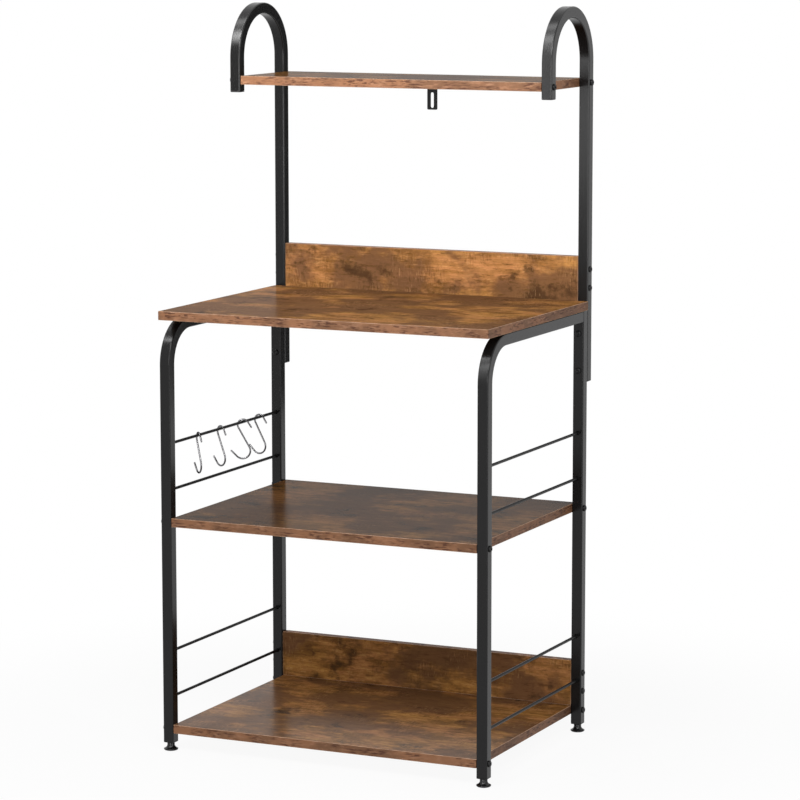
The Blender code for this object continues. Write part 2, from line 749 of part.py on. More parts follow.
def make_hooks():
    height = MIDDLE_SHELF_TOP + LOWER_ROD_RISE + ROD_PITCH
    for number, (share, yaw) in enumerate(zip(HOOK_PLACE_SHARES, HOOK_YAWS), start=1):
        s_hook(f"s_hook_{number}", (-TUBE_X, LEG_FRONT + share * FRAME_DEPTH, height), yaw)


BOLT_FINISH = black_oxide_bolt("bolt")
CANE_BITE = TUBE - TUBE_WALL - 2 * GAP
SIDE_BOLT = bolt_mesh("side_bolt", TUBE + BOLT_BITE)
CANE_BOLT = bolt_mesh("cane_bolt", TUBE + CANE_BITE)
RAIL_BOLT = bolt_mesh("rail_bolt", TUBE_WALL + GAP + BOLT_BITE)

fronts = {side: front_tube(side, sign) for side, sign in SIDES}
posts = {side: rear_post(side, sign) for side, sign in SIDES}
canes = {side: cane(side, sign) for side, sign in SIDES}
boards = make_boards()
for side, sign in SIDES:
    guard_rods(side, sign)

frame_tubes = {(side, "front"): fronts[side] for side, _ in SIDES}
frame_tubes |= {(side, "rear"): posts[side] for side, _ in SIDES}
cane_tubes = {(side, end): canes[side] for side, _ in SIDES for end in ("front", "rear")}
bolt_shelf(boards["bottom_shelf"], BOTTOM_SHELF_TOP, ENDS, frame_tubes)
bolt_shelf(boards["middle_shelf"], MIDDLE_SHELF_TOP, ENDS, frame_tubes)
bolt_shelf(boards["top_shelf"], TOP_SHELF_TOP, (("front", CANE_LEG_Y), ("rear", CANE_Y)), cane_tubes)
bolt_back_board(boards["lower_back_board"], BOTTOM_SHELF_TOP + GAP, POST_Y, posts)
bolt_back_board(boards["upper_back_board"], WORKTOP_TOP - UPPER_BACK_BOARD_DROP, CANE_Y, canes)
bolt_canes(posts, canes)
bolt_worktop(fronts, boards["worktop"])
make_feet()
cane_caps()
wall_bracket(boards["top_shelf"])
make_hooks()
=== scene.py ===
"""Microwave stand: black tube frames, rustic laminate boards, hutch tubes, guard rods, feet and S-hooks.

X runs along the shelves, Y from the front to the wall and Z up from the floor. All sizes are in metres.
"""

import math

import bmesh
import bpy
from mathutils import Matrix, Vector


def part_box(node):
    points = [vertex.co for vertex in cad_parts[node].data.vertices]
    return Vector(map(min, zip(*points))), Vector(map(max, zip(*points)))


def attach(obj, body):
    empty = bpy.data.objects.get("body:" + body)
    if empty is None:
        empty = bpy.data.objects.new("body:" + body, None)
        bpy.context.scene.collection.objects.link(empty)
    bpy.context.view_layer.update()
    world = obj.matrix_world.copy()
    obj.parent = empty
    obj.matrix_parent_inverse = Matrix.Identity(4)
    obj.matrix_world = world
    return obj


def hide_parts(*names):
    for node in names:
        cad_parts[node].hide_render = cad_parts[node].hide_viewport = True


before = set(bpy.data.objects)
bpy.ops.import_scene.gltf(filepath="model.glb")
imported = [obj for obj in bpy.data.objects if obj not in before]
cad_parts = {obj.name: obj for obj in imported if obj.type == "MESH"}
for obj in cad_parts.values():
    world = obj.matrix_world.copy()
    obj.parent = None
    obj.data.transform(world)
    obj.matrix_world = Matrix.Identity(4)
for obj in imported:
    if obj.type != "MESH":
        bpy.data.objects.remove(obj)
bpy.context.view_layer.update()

# Front legs and rails. Each side has one length of 19 mm square steel tube that stands on a foot and
# bends back into the rail under the worktop. Satin black powder coat over a 1.2 mm wall. Two holes in the
# rail's underside let in the screws that hold the worktop.

TUBE = 0.019
TUBE_WALL = 0.0012
TUBE_CORNER = 0.0022
TUBE_CORNER_STEPS = 6
BEND_STEPS = 24
FRAME_X = 0.2895
FRONT_LEG_Y = -0.2135
REAR_POST_Y = 0.196
LEG_BOTTOM = 0.016
RAIL_TOP = 0.7359
FRONT_BEND = 0.067
FIT_GAP = 0.0003
ACCESS_RADIUS = 0.0064
ACCESS_SIDES = 32
RAIL_SCREW_DEPTHS = (-0.1165, 0.1565)
SAME_POINT = 0.000001
CORNER_NORMALS = (0.05, 0.995)
SHARP_CUT = math.radians(40)
SIDES = (("left", -1), ("right", 1))


class Wire:
    """A socket of a material's nodes. Arithmetic on it adds Math nodes, and node() adds any other."""

    def __init__(self, tree, socket=None):
        self.tree = tree
        self.socket = socket

    def node(self, kind, settings, inputs, output=0):
        """A node of this type, with its settings and the values or links of its sockets."""
        made = self.tree.nodes.new(kind)
        for name, value in settings.items():
            setattr(made, name, value)
        for name, value in inputs.items():
            if isinstance(value, Wire):
                self.tree.links.new(value.socket, made.inputs[name])
            else:
                made.inputs[name].default_value = value
        return Wire(self.tree, made.outputs[output] if made.outputs else None)

    def maths(self, operation, *values):
        return self.node("ShaderNodeMath", {"operation": operation}, dict(enumerate(values)))

    def __add__(self, other):
        return self.maths("ADD", self, other)

    def __sub__(self, other):
        return self.maths("SUBTRACT", self, other)

    def __rsub__(self, other):
        return self.maths("SUBTRACT", other, self)

    def __mul__(self, other):
        return self.maths("MULTIPLY", self, other)

    __radd__ = __add__
    __rmul__ = __mul__

    def between(self, low, high):
        """0 below low, 1 above high and smooth from one to the other."""
        settings = {"interpolation_type": "SMOOTHSTEP"}
        return self.node("ShaderNodeMapRange", settings, {0: self, 1: low, 2: high, 3: 0.0, 4: 1.0})

    def blend(self, low, high):
        """The colour low where this is 0, high where it is 1."""
        ends = [value if isinstance(value, Wire) else (*value, 1) for value in (low, high)]
        settings = {"data_type": "RGBA"}
        return self.node("ShaderNodeMix", settings, {0: self, 6: ends[0], 7: ends[1]}, output=2)

    def stretched(self, x, y, z):
        return self.node("ShaderNodeVectorMath", {"operation": "MULTIPLY"}, {0: self, 1: (x, y, z)})

    def moved(self, x, y, z):
        return self.node("ShaderNodeVectorMath", {"operation": "ADD"}, {0: self, 1: (x, y, z)})

    def noise(self, scale, detail, roughness=0.5):
        inputs = {"Vector": self, "Scale": scale, "Detail": detail, "Roughness": roughness}
        return self.node("ShaderNodeTexNoise", {}, inputs)

    def bump(self, height, distance):
        """The surface's normal with a relief of this height, and distance metres deep."""
        inputs = {"Height": height, "Distance": distance, "Strength": 1.0}
        return self.node("ShaderNodeBump", {}, inputs)


def first_wire(owner):
    """The start of new nodes for a material or the world, with its old ones cleared."""
    owner.use_nodes = True
    owner.node_tree.nodes.clear()
    return Wire(owner.node_tree)


def finish(name, paint):
    """A material made by paint, which turns places on the piece into the Principled shader's inputs."""
    made = bpy.data.materials.new(name)
    start = first_wire(made)
    place = start.node("ShaderNodeTexCoord", {}, {}, output="Object")
    surface = start.node("ShaderNodeBsdfPrincipled", {}, paint(place))
    start.node("ShaderNodeOutputMaterial", {}, {"Surface": surface})
    return made


def powder_coat(place):
    """Satin black with a fine orange peel and a slow drift in its gloss."""
    peel = place.noise(700, 3, 0.6)
    drift = place.noise(9, 2)
    grain = place.noise(2600, 2)
    colour = (drift * 0.6 + grain * 0.4).blend((0.003, 0.0029, 0.0030), (0.007, 0.0067, 0.0069))
    return {
        "Base Color": colour,
        "Roughness": 0.17 + drift * 0.06 + peel * 0.05,
        "Normal": place.bump(peel + grain * 0.3, 0.000025),
        "Specular IOR Level": 0.25,
    }


BLACK_COAT = finish("satin_black_powder_coat", powder_coat)


def skin(name, rings, closed=False, looped=False):
    """A surface through rings of points. closed fills its end rings, looped joins the last to the first."""
    bm = bmesh.new()
    rows = [[bm.verts.new(point) for point in ring] for ring in rings]
    for low, high in zip(rows, rows[1:] + (rows[:1] if looped else [])):
        for corner in range(len(low)):
            after = (corner + 1) % len(low)
            bm.faces.new((low[corner], low[after], high[after], high[corner]))
    if closed:
        bm.faces.new(rows[0])
        bm.faces.new(rows[-1])
    bmesh.ops.remove_doubles(bm, verts=bm.verts, dist=SAME_POINT)
    bmesh.ops.recalc_face_normals(bm, faces=bm.faces)
    mesh = bpy.data.meshes.new(name)
    bm.to_mesh(mesh)
    bm.free()
    mesh.shade_smooth()
    return mesh


def placed(name, data):
    """An object in the scene for a mesh, a lamp or the camera."""
    item = bpy.data.objects.new(name, data)
    bpy.context.scene.collection.objects.link(item)
    return item


def fitted(name, mesh, coat, body, slot, *nodes, flats=True):
    """Put a mesh on a body as a piece, in place of the nodes named. flats keeps its broad faces flat."""
    piece = placed(name, mesh)
    if coat is not None:
        mesh.materials.append(coat)
    if flats:
        weighted = piece.modifiers.new("flat_faces", "WEIGHTED_NORMAL")
        weighted.weight = 100
        weighted.keep_sharp = True
    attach(piece, body)
    if nodes:
        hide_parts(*nodes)


def rounded_outline(width, depth, corner, steps):
    """Points of a rectangle with rounded corners, anticlockwise."""
    points = []
    for quarter in range(4):
        middle = math.radians(45 + 90 * quarter)
        across = math.copysign(width / 2 - corner, math.cos(middle))
        along = math.copysign(depth / 2 - corner, math.sin(middle))
        for step in range(steps + 1):
            angle = math.radians(90) * (quarter + step / steps)
            points.append((across + corner * math.cos(angle), along + corner * math.sin(angle)))
    return points


def tube_outline(side=TUBE):
    """The square tube's outline, or one like it of another size."""
    return rounded_outline(side, side, TUBE_CORNER * side / TUBE, TUBE_CORNER_STEPS)


def tube_line(y, z, *moves):
    """Stations (y, z, heading) along a tube that starts upwards.

    A move is (length, 0), or a bend's (radius, angle in degrees).
    """
    heading = 0.0
    line = [(y, z, heading)]
    for size, angle in moves:
        if not angle:
            line.append((y + size * math.sin(heading), z + size * math.cos(heading), heading))
        else:
            way = math.copysign(size, angle)
            middle_y = y + way * math.cos(heading)
            middle_z = z - way * math.sin(heading)
            steps = round(BEND_STEPS * abs(angle) / 90)
            for step in range(1, steps + 1):
                turn = heading + math.radians(angle) * step / steps
                line.append((middle_y - way * math.cos(turn), middle_z + way * math.sin(turn), turn))
        y, z, heading = line[-1]
    return line


def ring_of(radius, height, sides, corners=0):
    """A ring about Z. With corners it is a polygon whose corners lie at the radius."""
    points = []
    for step in range(sides):
        turn = math.tau * step / sides
        reach = radius
        if corners:
            part = math.tau / corners
            reach = radius * math.cos(part / 2) / math.cos(turn % part - part / 2)
        points.append((reach * math.cos(turn), reach * math.sin(turn), height))
    return points


def worked(mesh, wall=0, cutters=()):
    """The mesh made hollow with this wall, and with the cutters' meshes cut out of it."""
    blank, *tools = [placed(mesh.name, shape) for shape in (mesh, *cutters)]
    if wall:
        hollow = blank.modifiers.new("wall", "SOLIDIFY")
        hollow.thickness = wall
        hollow.offset = -1
        hollow.use_even_offset = True
    for tool in tools:
        cut = blank.modifiers.new("cut", "BOOLEAN")
        cut.operation = "DIFFERENCE"
        cut.solver = "EXACT"
        cut.object = tool
    made = bpy.data.meshes.new_from_object(blank.evaluated_get(bpy.context.evaluated_depsgraph_get()))
    for item in (blank, *tools):
        bpy.data.objects.remove(item, do_unlink=True)
    made.shade_smooth()
    made.set_sharp_from_angle(angle=SHARP_CUT)
    return made


def fitted_tube(name, x, line, node, holes=(), corner_coat=None):
    """A square tube along stations in the plane at x, with holes up through its underside at these depths."""
    rings = []
    for y, z, heading in line:
        along, down = math.cos(heading), math.sin(heading)
        rings.append([(x + a, y + b * along, z - b * down) for a, b in tube_outline()])
    outside = skin(name, rings)
    outside.materials.append(BLACK_COAT)
    if corner_coat:
        outside.materials.append(corner_coat)
        inner, outer = CORNER_NORMALS
        for face in outside.polygons:
            face.material_index = int(inner < abs(face.normal.x) < outer)
    low = RAIL_TOP - TUBE - TUBE_WALL
    drills = []
    for depth in holes:
        ends = [ring_of(ACCESS_RADIUS, z, ACCESS_SIDES) for z in (low, low + 3 * TUBE_WALL)]
        drill = skin("drill", ends, closed=True)
        drill.transform(Matrix.Translation((x, depth, 0)))
        drills.append(drill)
    fitted(name, worked(outside, TUBE_WALL, drills), None, "stand", "powder_coated_steel", node)


rail_end = REAR_POST_Y - TUBE / 2 - FIT_GAP
for side, sign in SIDES:
    line = tube_line(
        FRONT_LEG_Y,
        LEG_BOTTOM,
        (RAIL_TOP - TUBE / 2 - FRONT_BEND - LEG_BOTTOM, 0),
        (FRONT_BEND, 90),
        (rail_end - FRONT_LEG_Y - FRONT_BEND, 0),
    )
    node = f"{side}_front_leg_and_rail"
    fitted_tube(f"front_tube_{side}", sign * FRAME_X, line, node, RAIL_SCREW_DEPTHS)

# Rear posts. Straight lengths of the same tube from the foot to the worktop's underside, each welded to
# its rail's end. The weld is a low rippled bead on the rail's inner side and underside; its outer side is
# flush.

WELD_RADIUS = 0.0011
WELD_VALLEY = 0.72
WELD_END = 0.3
WELD_RIPPLE = 0.0014
WELD_STEP = 0.00035
WELD_SIDES = 8
WELD_CORNER_STEPS = 4
WELD_START = 0.003


def bar(name, line, radii, sides):
    """A round bar along a line of points, with a radius at each."""
    points = [Vector(point) for point in line]
    rings = []
    across = None
    for number, point in enumerate(points):
        ahead = points[min(number + 1, len(points) - 1)]
        behind = points[max(number - 1, 0)]
        heading = (ahead - behind).normalized()
        if across is None:
            across = heading.orthogonal().normalized()
        across = (across - heading * across.dot(heading)).normalized()
        other = heading.cross(across)
        turns = [math.tau * step / sides for step in range(sides)]
        rings.append([point + (across * math.cos(t) + other * math.sin(t)) * radii[number] for t in turns])
    return skin(name, rings, closed=True)


def quarter_turns(steps):
    """Angles from 0 to 90 degrees in even steps."""
    return [math.radians(90) * step / steps for step in range(steps + 1)]


def weld_bead(name, corners):
    """A bead along a line of corners, in even ripples and thin at its ends."""
    points = [Vector(corners[0])]
    for corner in corners[1:]:
        step = Vector(corner) - points[-1]
        count = max(1, round(step.length / WELD_STEP))
        start = points[-1].copy()
        points += [start + step * number / count for number in range(1, count + 1)]
    radii = []
    for number in range(len(points)):
        ripple = abs(math.sin(math.pi * number * WELD_STEP / WELD_RIPPLE))
        radii.append(WELD_RADIUS * (WELD_VALLEY + (1 - WELD_VALLEY) * ripple))
    radii[0] = radii[-1] = WELD_RADIUS * WELD_END
    bead = bar(name, points, radii, WELD_SIDES)
    fitted(name, bead, BLACK_COAT, "stand", "powder_coated_steel", flats=False)


for side, sign in SIDES:
    line = tube_line(REAR_POST_Y, LEG_BOTTOM, (RAIL_TOP - LEG_BOTTOM, 0))
    fitted_tube(f"rear_tube_{side}", sign * FRAME_X, line, f"{side}_rear_post")
    inner = -sign * TUBE / 2
    reach = TUBE / 2 - TUBE_CORNER
    corners = [(inner, TUBE / 2 - WELD_START), (inner, -reach)]
    for turn in quarter_turns(WELD_CORNER_STEPS)[1:]:
        across = -sign * (reach + TUBE_CORNER * math.cos(turn))
        corners.append((across, -reach - TUBE_CORNER * math.sin(turn)))
    corners.append((sign * reach, -TUBE / 2))
    rail_middle = RAIL_TOP - TUBE / 2
    weld_bead(f"rail_weld_{side}", [(sign * FRAME_X + a, rail_end, rail_middle + b) for a, b in corners])

# Guard rods. Eight 5 mm round steel rods, in pairs above the two lower shelves on each side. Their ends
# butt the leg and the post, and are welded all round, under the same powder coat.

ROD_RADIUS = 0.0025
ROD_SIDES = 24
ROD_WELD = ((0, 0.0037), (0.00078, 0.00333), (0.00182, 0.0028), (0.0026, ROD_RADIUS))


def rod_coat(place):
    """The tubes' powder coat, thinner and duller on the wire."""
    return {**powder_coat(place), "Roughness": 0.34, "Specular IOR Level": 0.12}


ROD_COAT = finish("powder_coat_on_rods", rod_coat)

for side, sign in SIDES:
    for number in range(1, 5):
        node = f"{side}_guard_rod_{number}"
        low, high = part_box(node)
        middle = (low + high) / 2
        profile = [(low.y + distance, radius) for distance, radius in ROD_WELD]
        profile += [(high.y - distance, radius) for distance, radius in reversed(ROD_WELD)]
        line = [(middle.x, y, middle.z) for y, _ in profile]
        rod = bar(f"rod_{side}_{number}", line, [radius for _, radius in profile], ROD_SIDES)
        fitted(rod.name, rod, ROD_COAT, "stand", "powder_coated_steel", node)

# Worktop, shelves and back boards. 15 mm particle board under a printed rustic-wood laminate, with a
# plastic band glued round the four edges and its corners scraped to a soft arris.

BOARD_ARRIS = 0.0006
BOARD_ARRIS_STEPS = 3
BOARD_CORNER = 0.0009
BOARD_CORNER_STEPS = 4
BOARD_FACE_NORMAL = 0.999
BOARD_EDGE_NORMAL = 0.05


def shades(tone_and_painted_shading):
    """A function that makes colours lighter or darker by this factor, which holds a board's tone together
    with painted shading.
    """
    return lambda red, green, blue: (red * tone_and_painted_shading, green * tone_and_painted_shading, blue * tone_and_painted_shading)


def laminate(place, seed, tone_and_painted_shading, sheen):
    """Brown rustic print: ochre ground, purplish clouds, dark knots, grain along X, saw marks across it."""
    # The tone lightens or darkens the whole print, and holds painted shade as well as the board's own tone.
    shade = shades(tone_and_painted_shading)
    at = place.moved(seed * 3.17, seed * 1.91, seed * 2.43)
    wide = at.stretched(0.80, 1, 1)
    clouds = wide.noise(8, 5, 0.6)
    blots = wide.moved(9.3, 2.1, 5.2).noise(15, 7, 0.68)
    sawn = wide.moved(1.7, 6.4, 3.3).noise(15, 3, 0.6)
    warmth = at.stretched(0.4, 1, 1).moved(6.1, 3.3, 8.8).noise(17, 4, 0.6)
    bands = at.stretched(0.45, 1, 1).moved(4.4, 8.1, 0.7).noise(34, 6, 0.68)
    grain = at.stretched(0.16, 1, 1).noise(95, 7, 0.70)
    dashes = at.stretched(0.20, 1, 1).moved(0.9, 5.7, 2.2).noise(210, 4, 0.6)
    fibre = at.stretched(0.05, 1, 1).noise(800, 3, 0.6)
    mottle = at.noise(140, 6, 0.7)
    marks = at.stretched(1, 0.2, 0.2).noise(400, 3, 0.6)
    scratched = sawn.between(0.49, 0.60)
    light = warmth.between(0.40, 0.60).blend(shade(0.600, 0.286, 0.078), shade(0.610, 0.270, 0.100))
    colour = grain.between(0.32, 0.66).blend(shade(0.300, 0.134, 0.036), light)
    for cover, over in (
        (bands.between(0.45, 0.62) * 0.72, (0.165, 0.075, 0.022)),
        ((1 - dashes.between(0.34, 0.43)) * 0.45, (0.760, 0.390, 0.140)),
        (clouds.between(0.45, 0.57) * 0.84, (0.158, 0.076, 0.038)),
        (mottle.between(0.45, 0.80) * 0.45, (0.130, 0.060, 0.024)),
        (dashes.between(0.57, 0.66) * 0.55, (0.095, 0.043, 0.015)),
        (blots.between(0.55, 0.66) * 0.80, (0.050, 0.027, 0.013)),
        (marks.between(0.56, 0.66) * scratched * 0.40, (0.560, 0.295, 0.130)),
        ((1 - marks.between(0.36, 0.45)) * scratched * 0.50, (0.085, 0.040, 0.016)),
        (fibre.between(0.40, 0.70) * 0.30, (0.130, 0.062, 0.026)),
    ):
        colour = cover.blend(colour, shade(*over))
    relief = grain * 0.5 + fibre * 0.6 - scratched * marks * 0.8
    return {
        "Base Color": colour,
        "Roughness": 0.16 + clouds * 0.07 + fibre * 0.07,
        "Normal": place.bump(relief, 0.00004),
        "Specular IOR Level": sheen,
    }


def edge_band(place, seed, tone_and_painted_shading):
    """Printed plastic band: reddish brown with short dark dashes along it."""
    # The edge's tone holds painted light and shade as well as the band's own tone.
    shade = shades(tone_and_painted_shading)
    settings = {"operation": "DOT_PRODUCT"}
    along = place.node("ShaderNodeVectorMath", settings, {0: place, 1: (1, 1, 0)}, output="Value")
    height = place.node("ShaderNodeSeparateXYZ", {}, {0: place}, output="Z")
    at = place.node("ShaderNodeCombineXYZ", {}, {0: along + seed * 1.3, 1: height})
    drift = at.noise(13, 3)
    flecks = at.stretched(0.3, 1, 1).moved(7.4, 1.1, 0).noise(170, 5, 0.65)
    dashes = at.stretched(0.16, 1, 1).noise(420, 4, 0.6)
    groups = at.stretched(1, 3, 1).moved(2.2, 5.5, 0).noise(22, 2)
    dashed = dashes.between(0.49, 0.57) * groups.between(0.41, 0.54)
    ground = drift.between(0.40, 0.60).blend(shade(0.290, 0.138, 0.072), shade(0.185, 0.092, 0.050))
    ground = (flecks.between(0.48, 0.66) * 0.6).blend(ground, shade(0.370, 0.195, 0.115))
    return {
        "Base Color": (dashed * 0.8).blend(ground, shade(0.060, 0.022, 0.015)),
        "Roughness": 0.40 + dashes * 0.12,
        "Normal": place.bump(dashes, 0.00004),
        "Specular IOR Level": 0.10,
    }


def scraped_arris(place, seed):
    """The band's scraped corner, a paler line."""
    along = place.noise(60 + seed, 3)
    colour = along.between(0.3, 0.7).blend((0.340, 0.190, 0.110), (0.520, 0.330, 0.220))
    return {"Base Color": colour, "Roughness": 0.42 + along * 0.1, "Specular IOR Level": 0.10}


def board_mesh(name, low, high, thin):
    """A board between two corners whose thickness runs along the axis thin, with a rounded arris all round.

    Its broad faces have the first material, its edges the second and its arrises the third.
    """
    middle = (low + high) / 2
    size = high - low
    across, along = [axis for axis in range(3) if axis != thin]
    upper = []
    for turn in quarter_turns(BOARD_ARRIS_STEPS):
        rise = size[thin] / 2 - BOARD_ARRIS * (1 - math.sin(turn))
        upper.append((rise, BOARD_ARRIS * (1 - math.cos(turn))))
    rings = []
    for rise, inset in [(-rise, inset) for rise, inset in reversed(upper)] + upper:
        width, depth = size[across] - 2 * inset, size[along] - 2 * inset
        ring = []
        for a, b in rounded_outline(width, depth, BOARD_CORNER + BOARD_ARRIS - inset, BOARD_CORNER_STEPS):
            point = list(middle)
            point[across] += a
            point[along] += b
            point[thin] += rise
            ring.append(point)
        rings.append(ring)
    mesh = skin(name, rings, closed=True)
    for face in mesh.polygons:
        facing = abs(face.normal[thin])
        if facing > BOARD_FACE_NORMAL:
            face.material_index = 0
        elif facing < BOARD_EDGE_NORMAL:
            face.material_index = 1
        else:
            face.material_index = 2
    return mesh


# Each board's node, the axis of its thickness, the place of its print, how light its faces and its edges are,
# and how strongly its faces shine. How light a board is holds painted shade as well as the print's tone: the
# middle shelf, the top shelf and the lower back board are darkened as painted shade, and the edges are made
# lighter or darker as painted light and shade.
BOARDS = (
    ("bottom_shelf", 2, 19, 0.81, 0.73, 0.033),
    ("middle_shelf", 2, 32, 0.42, 0.72, 0.0055),
    ("worktop", 2, 15, 0.80, 0.88, 0.001),
    ("top_shelf", 2, 4, 0.27, 1.10, 0.001),
    ("lower_back_board", 1, 11, 0.72, 1.00, 0.010),
    ("upper_back_board", 1, 12, 0.97, 1.00, 0.010),
)

for node, thin, seed, tone_and_painted_shading, edge_tone_and_painted_shading, sheen in BOARDS:
    mesh = board_mesh(f"{node}_board", *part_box(node), thin)
    for name, paint in (
        ("rustic_laminate", lambda place: laminate(place, seed, tone_and_painted_shading, sheen)),
        ("edge_band", lambda place: edge_band(place, seed, edge_tone_and_painted_shading)),
        ("scraped_arris", lambda place: scraped_arris(place, seed)),
    ):
        mesh.materials.append(finish(f"{name}_{node}", paint))
    fitted(mesh.name, mesh, None, "stand", "rustic_laminate", node)

# Hutch tubes. The same tube, bent like a walking cane: up behind the rear post, over in a half round and
# down to a short leg beside the top shelf. Each open end has a black plastic cap.

CANE_Y = 0.215
CANE_BOTTOM = 0.6145
CANE_ARCH = 0.08375
CANE_SPRING = 1.16025
CANE_LEG_BOTTOM = 1.1045
CANE_FRONT_Y = CANE_Y - 2 * CANE_ARCH
CAP_BODY = TUBE - 2 * TUBE_WALL - 2 * FIT_GAP
CAP_DEPTH = 0.011
CAP_FLANGE = 0.002
CAP_ROUNDING = 0.0012
CAP_STEPS = 3


def moulded(place):
    """Black moulded plastic with a fine spark-eroded grain."""
    grain = place.noise(1500, 3, 0.6)
    flow = place.noise(70, 2)
    colour = (flow * 0.7 + grain * 0.3).blend((0.003, 0.003, 0.0032), (0.008, 0.008, 0.0085))
    return {
        "Base Color": colour,
        "Roughness": 0.10 + flow * 0.08,
        "Normal": place.bump(grain, 0.00002),
        "Specular IOR Level": 0.30,
    }


def corner_coat(place):
    """The tubes' powder coat where it pulls thin over rounded corners and shines more."""
    return {**powder_coat(place), "Specular IOR Level": 0.42}


BLACK_PLASTIC = finish("black_moulded_plastic", moulded)
CORNER_COAT = finish("powder_coat_on_corners", corner_coat)


def square_ring(height, side):
    """The tube's outline at another size, as a ring at this height."""
    return [(a, b, height) for a, b in tube_outline(side)]


def cap_mesh(name, seat):
    """A flange rounded on its underside, and the square body that sits in the tube above it."""
    levels = [(-CAP_FLANGE, CAP_BODY)]
    for turn in quarter_turns(CAP_STEPS)[1:]:
        side = CAP_BODY + (TUBE - CAP_BODY) * math.sin(turn)
        levels.append((CAP_ROUNDING * (1 - math.cos(turn)) - CAP_FLANGE, side))
    levels += [(0, TUBE), (0, CAP_BODY), (CAP_DEPTH, CAP_BODY)]
    mesh = skin(name, [square_ring(height, side) for height, side in levels], closed=True)
    mesh.transform(Matrix.Translation(seat))
    return mesh


for side, sign in SIDES:
    line = tube_line(
        CANE_Y,
        CANE_BOTTOM,
        (CANE_SPRING - CANE_BOTTOM, 0),
        (CANE_ARCH, -180),
        (CANE_SPRING - CANE_LEG_BOTTOM, 0),
    )
    fitted_tube(f"cane_{side}", sign * FRAME_X, line, f"{side}_hutch_tube", corner_coat=CORNER_COAT)
    for end, y, height in (("front", CANE_FRONT_Y, CANE_LEG_BOTTOM), ("rear", CANE_Y, CANE_BOTTOM)):
        cap = cap_mesh(f"cane_cap_{side}_{end}", (sign * FRAME_X, y, height - FIT_GAP))
        fitted(cap.name, cap, BLACK_PLASTIC, "stand", "black_plastic", f"hutch_tube_cap_{side}_{end}")

# Bolts. Black M6 button-head socket screws. Twelve hold the shelves, eight the back boards, four join the
# hutch tubes to the rear posts and four go up through the rails into the worktop.

HEAD_RADIUS = 0.0054
HEAD_HEIGHT = 0.0028
HEAD_RIM = 0.0008
CROWN_RADIUS = 0.0031
CROWN_STEPS = 6
EASED_EDGE = 0.0002
SOCKET_RADIUS = 0.0022
SOCKET_DEPTH = 0.0016
SOCKET_CONE = 0.0005
SHANK_RADIUS = 0.003
SHANK_TIP_RADIUS = 0.0024
SHANK_CHAMFER = 0.0006
AXIS_RADIUS = 0.0001
BOLT_SIDES = 36
BOLT_LENGTH = 0.031
SHORT_BOLT_LENGTH = 0.0133
SHARP_TURNED = math.radians(38)
BACK_BOLT_RISES = (0.026, 0.058)
CANE_BOLT_HEIGHTS = (0.6335, 0.6975)


def black_oxide(place):
    """Blackened steel, a little uneven and oily."""
    mottle = place.noise(900, 3)
    colour = mottle.blend((0.005, 0.005, 0.0055), (0.016, 0.0155, 0.016))
    return {
        "Base Color": colour,
        "Roughness": 0.18 + mottle * 0.14,
        "Normal": place.bump(mottle, 0.00003),
        "Specular IOR Level": 0.16,
    }


BLACK_OXIDE = finish("black_oxide_steel", black_oxide)


def bolt_mesh(name, length):
    """Head on the plane z = 0, with its hexagonal socket, and shank below."""
    profile = [(AXIS_RADIUS, -length), (SHANK_TIP_RADIUS, -length), (SHANK_RADIUS, SHANK_CHAMFER - length)]
    profile += [(SHANK_RADIUS, 0), (HEAD_RADIUS - EASED_EDGE, 0), (HEAD_RADIUS, EASED_EDGE)]
    for turn in quarter_turns(CROWN_STEPS):
        radius = CROWN_RADIUS + (HEAD_RADIUS - CROWN_RADIUS) * math.cos(turn)
        profile.append((radius, HEAD_RIM + (HEAD_HEIGHT - HEAD_RIM) * math.sin(turn)))
    profile.append((SOCKET_RADIUS + EASED_EDGE, HEAD_HEIGHT))
    rings = [ring_of(radius, height, BOLT_SIDES) for radius, height in profile]
    for depth in (EASED_EDGE, SOCKET_DEPTH):
        rings.append(ring_of(SOCKET_RADIUS, HEAD_HEIGHT - depth, BOLT_SIDES, corners=6))
    rings.append(ring_of(AXIS_RADIUS, HEAD_HEIGHT - SOCKET_DEPTH - SOCKET_CONE, BOLT_SIDES))
    mesh = skin(name, rings, closed=True)
    mesh.set_sharp_from_angle(angle=SHARP_TURNED)
    mesh.materials.append(BLACK_OXIDE)
    return mesh


BOLT = bolt_mesh("socket_bolt", BOLT_LENGTH)
SHORT_BOLT = bolt_mesh("short_socket_bolt", SHORT_BOLT_LENGTH)


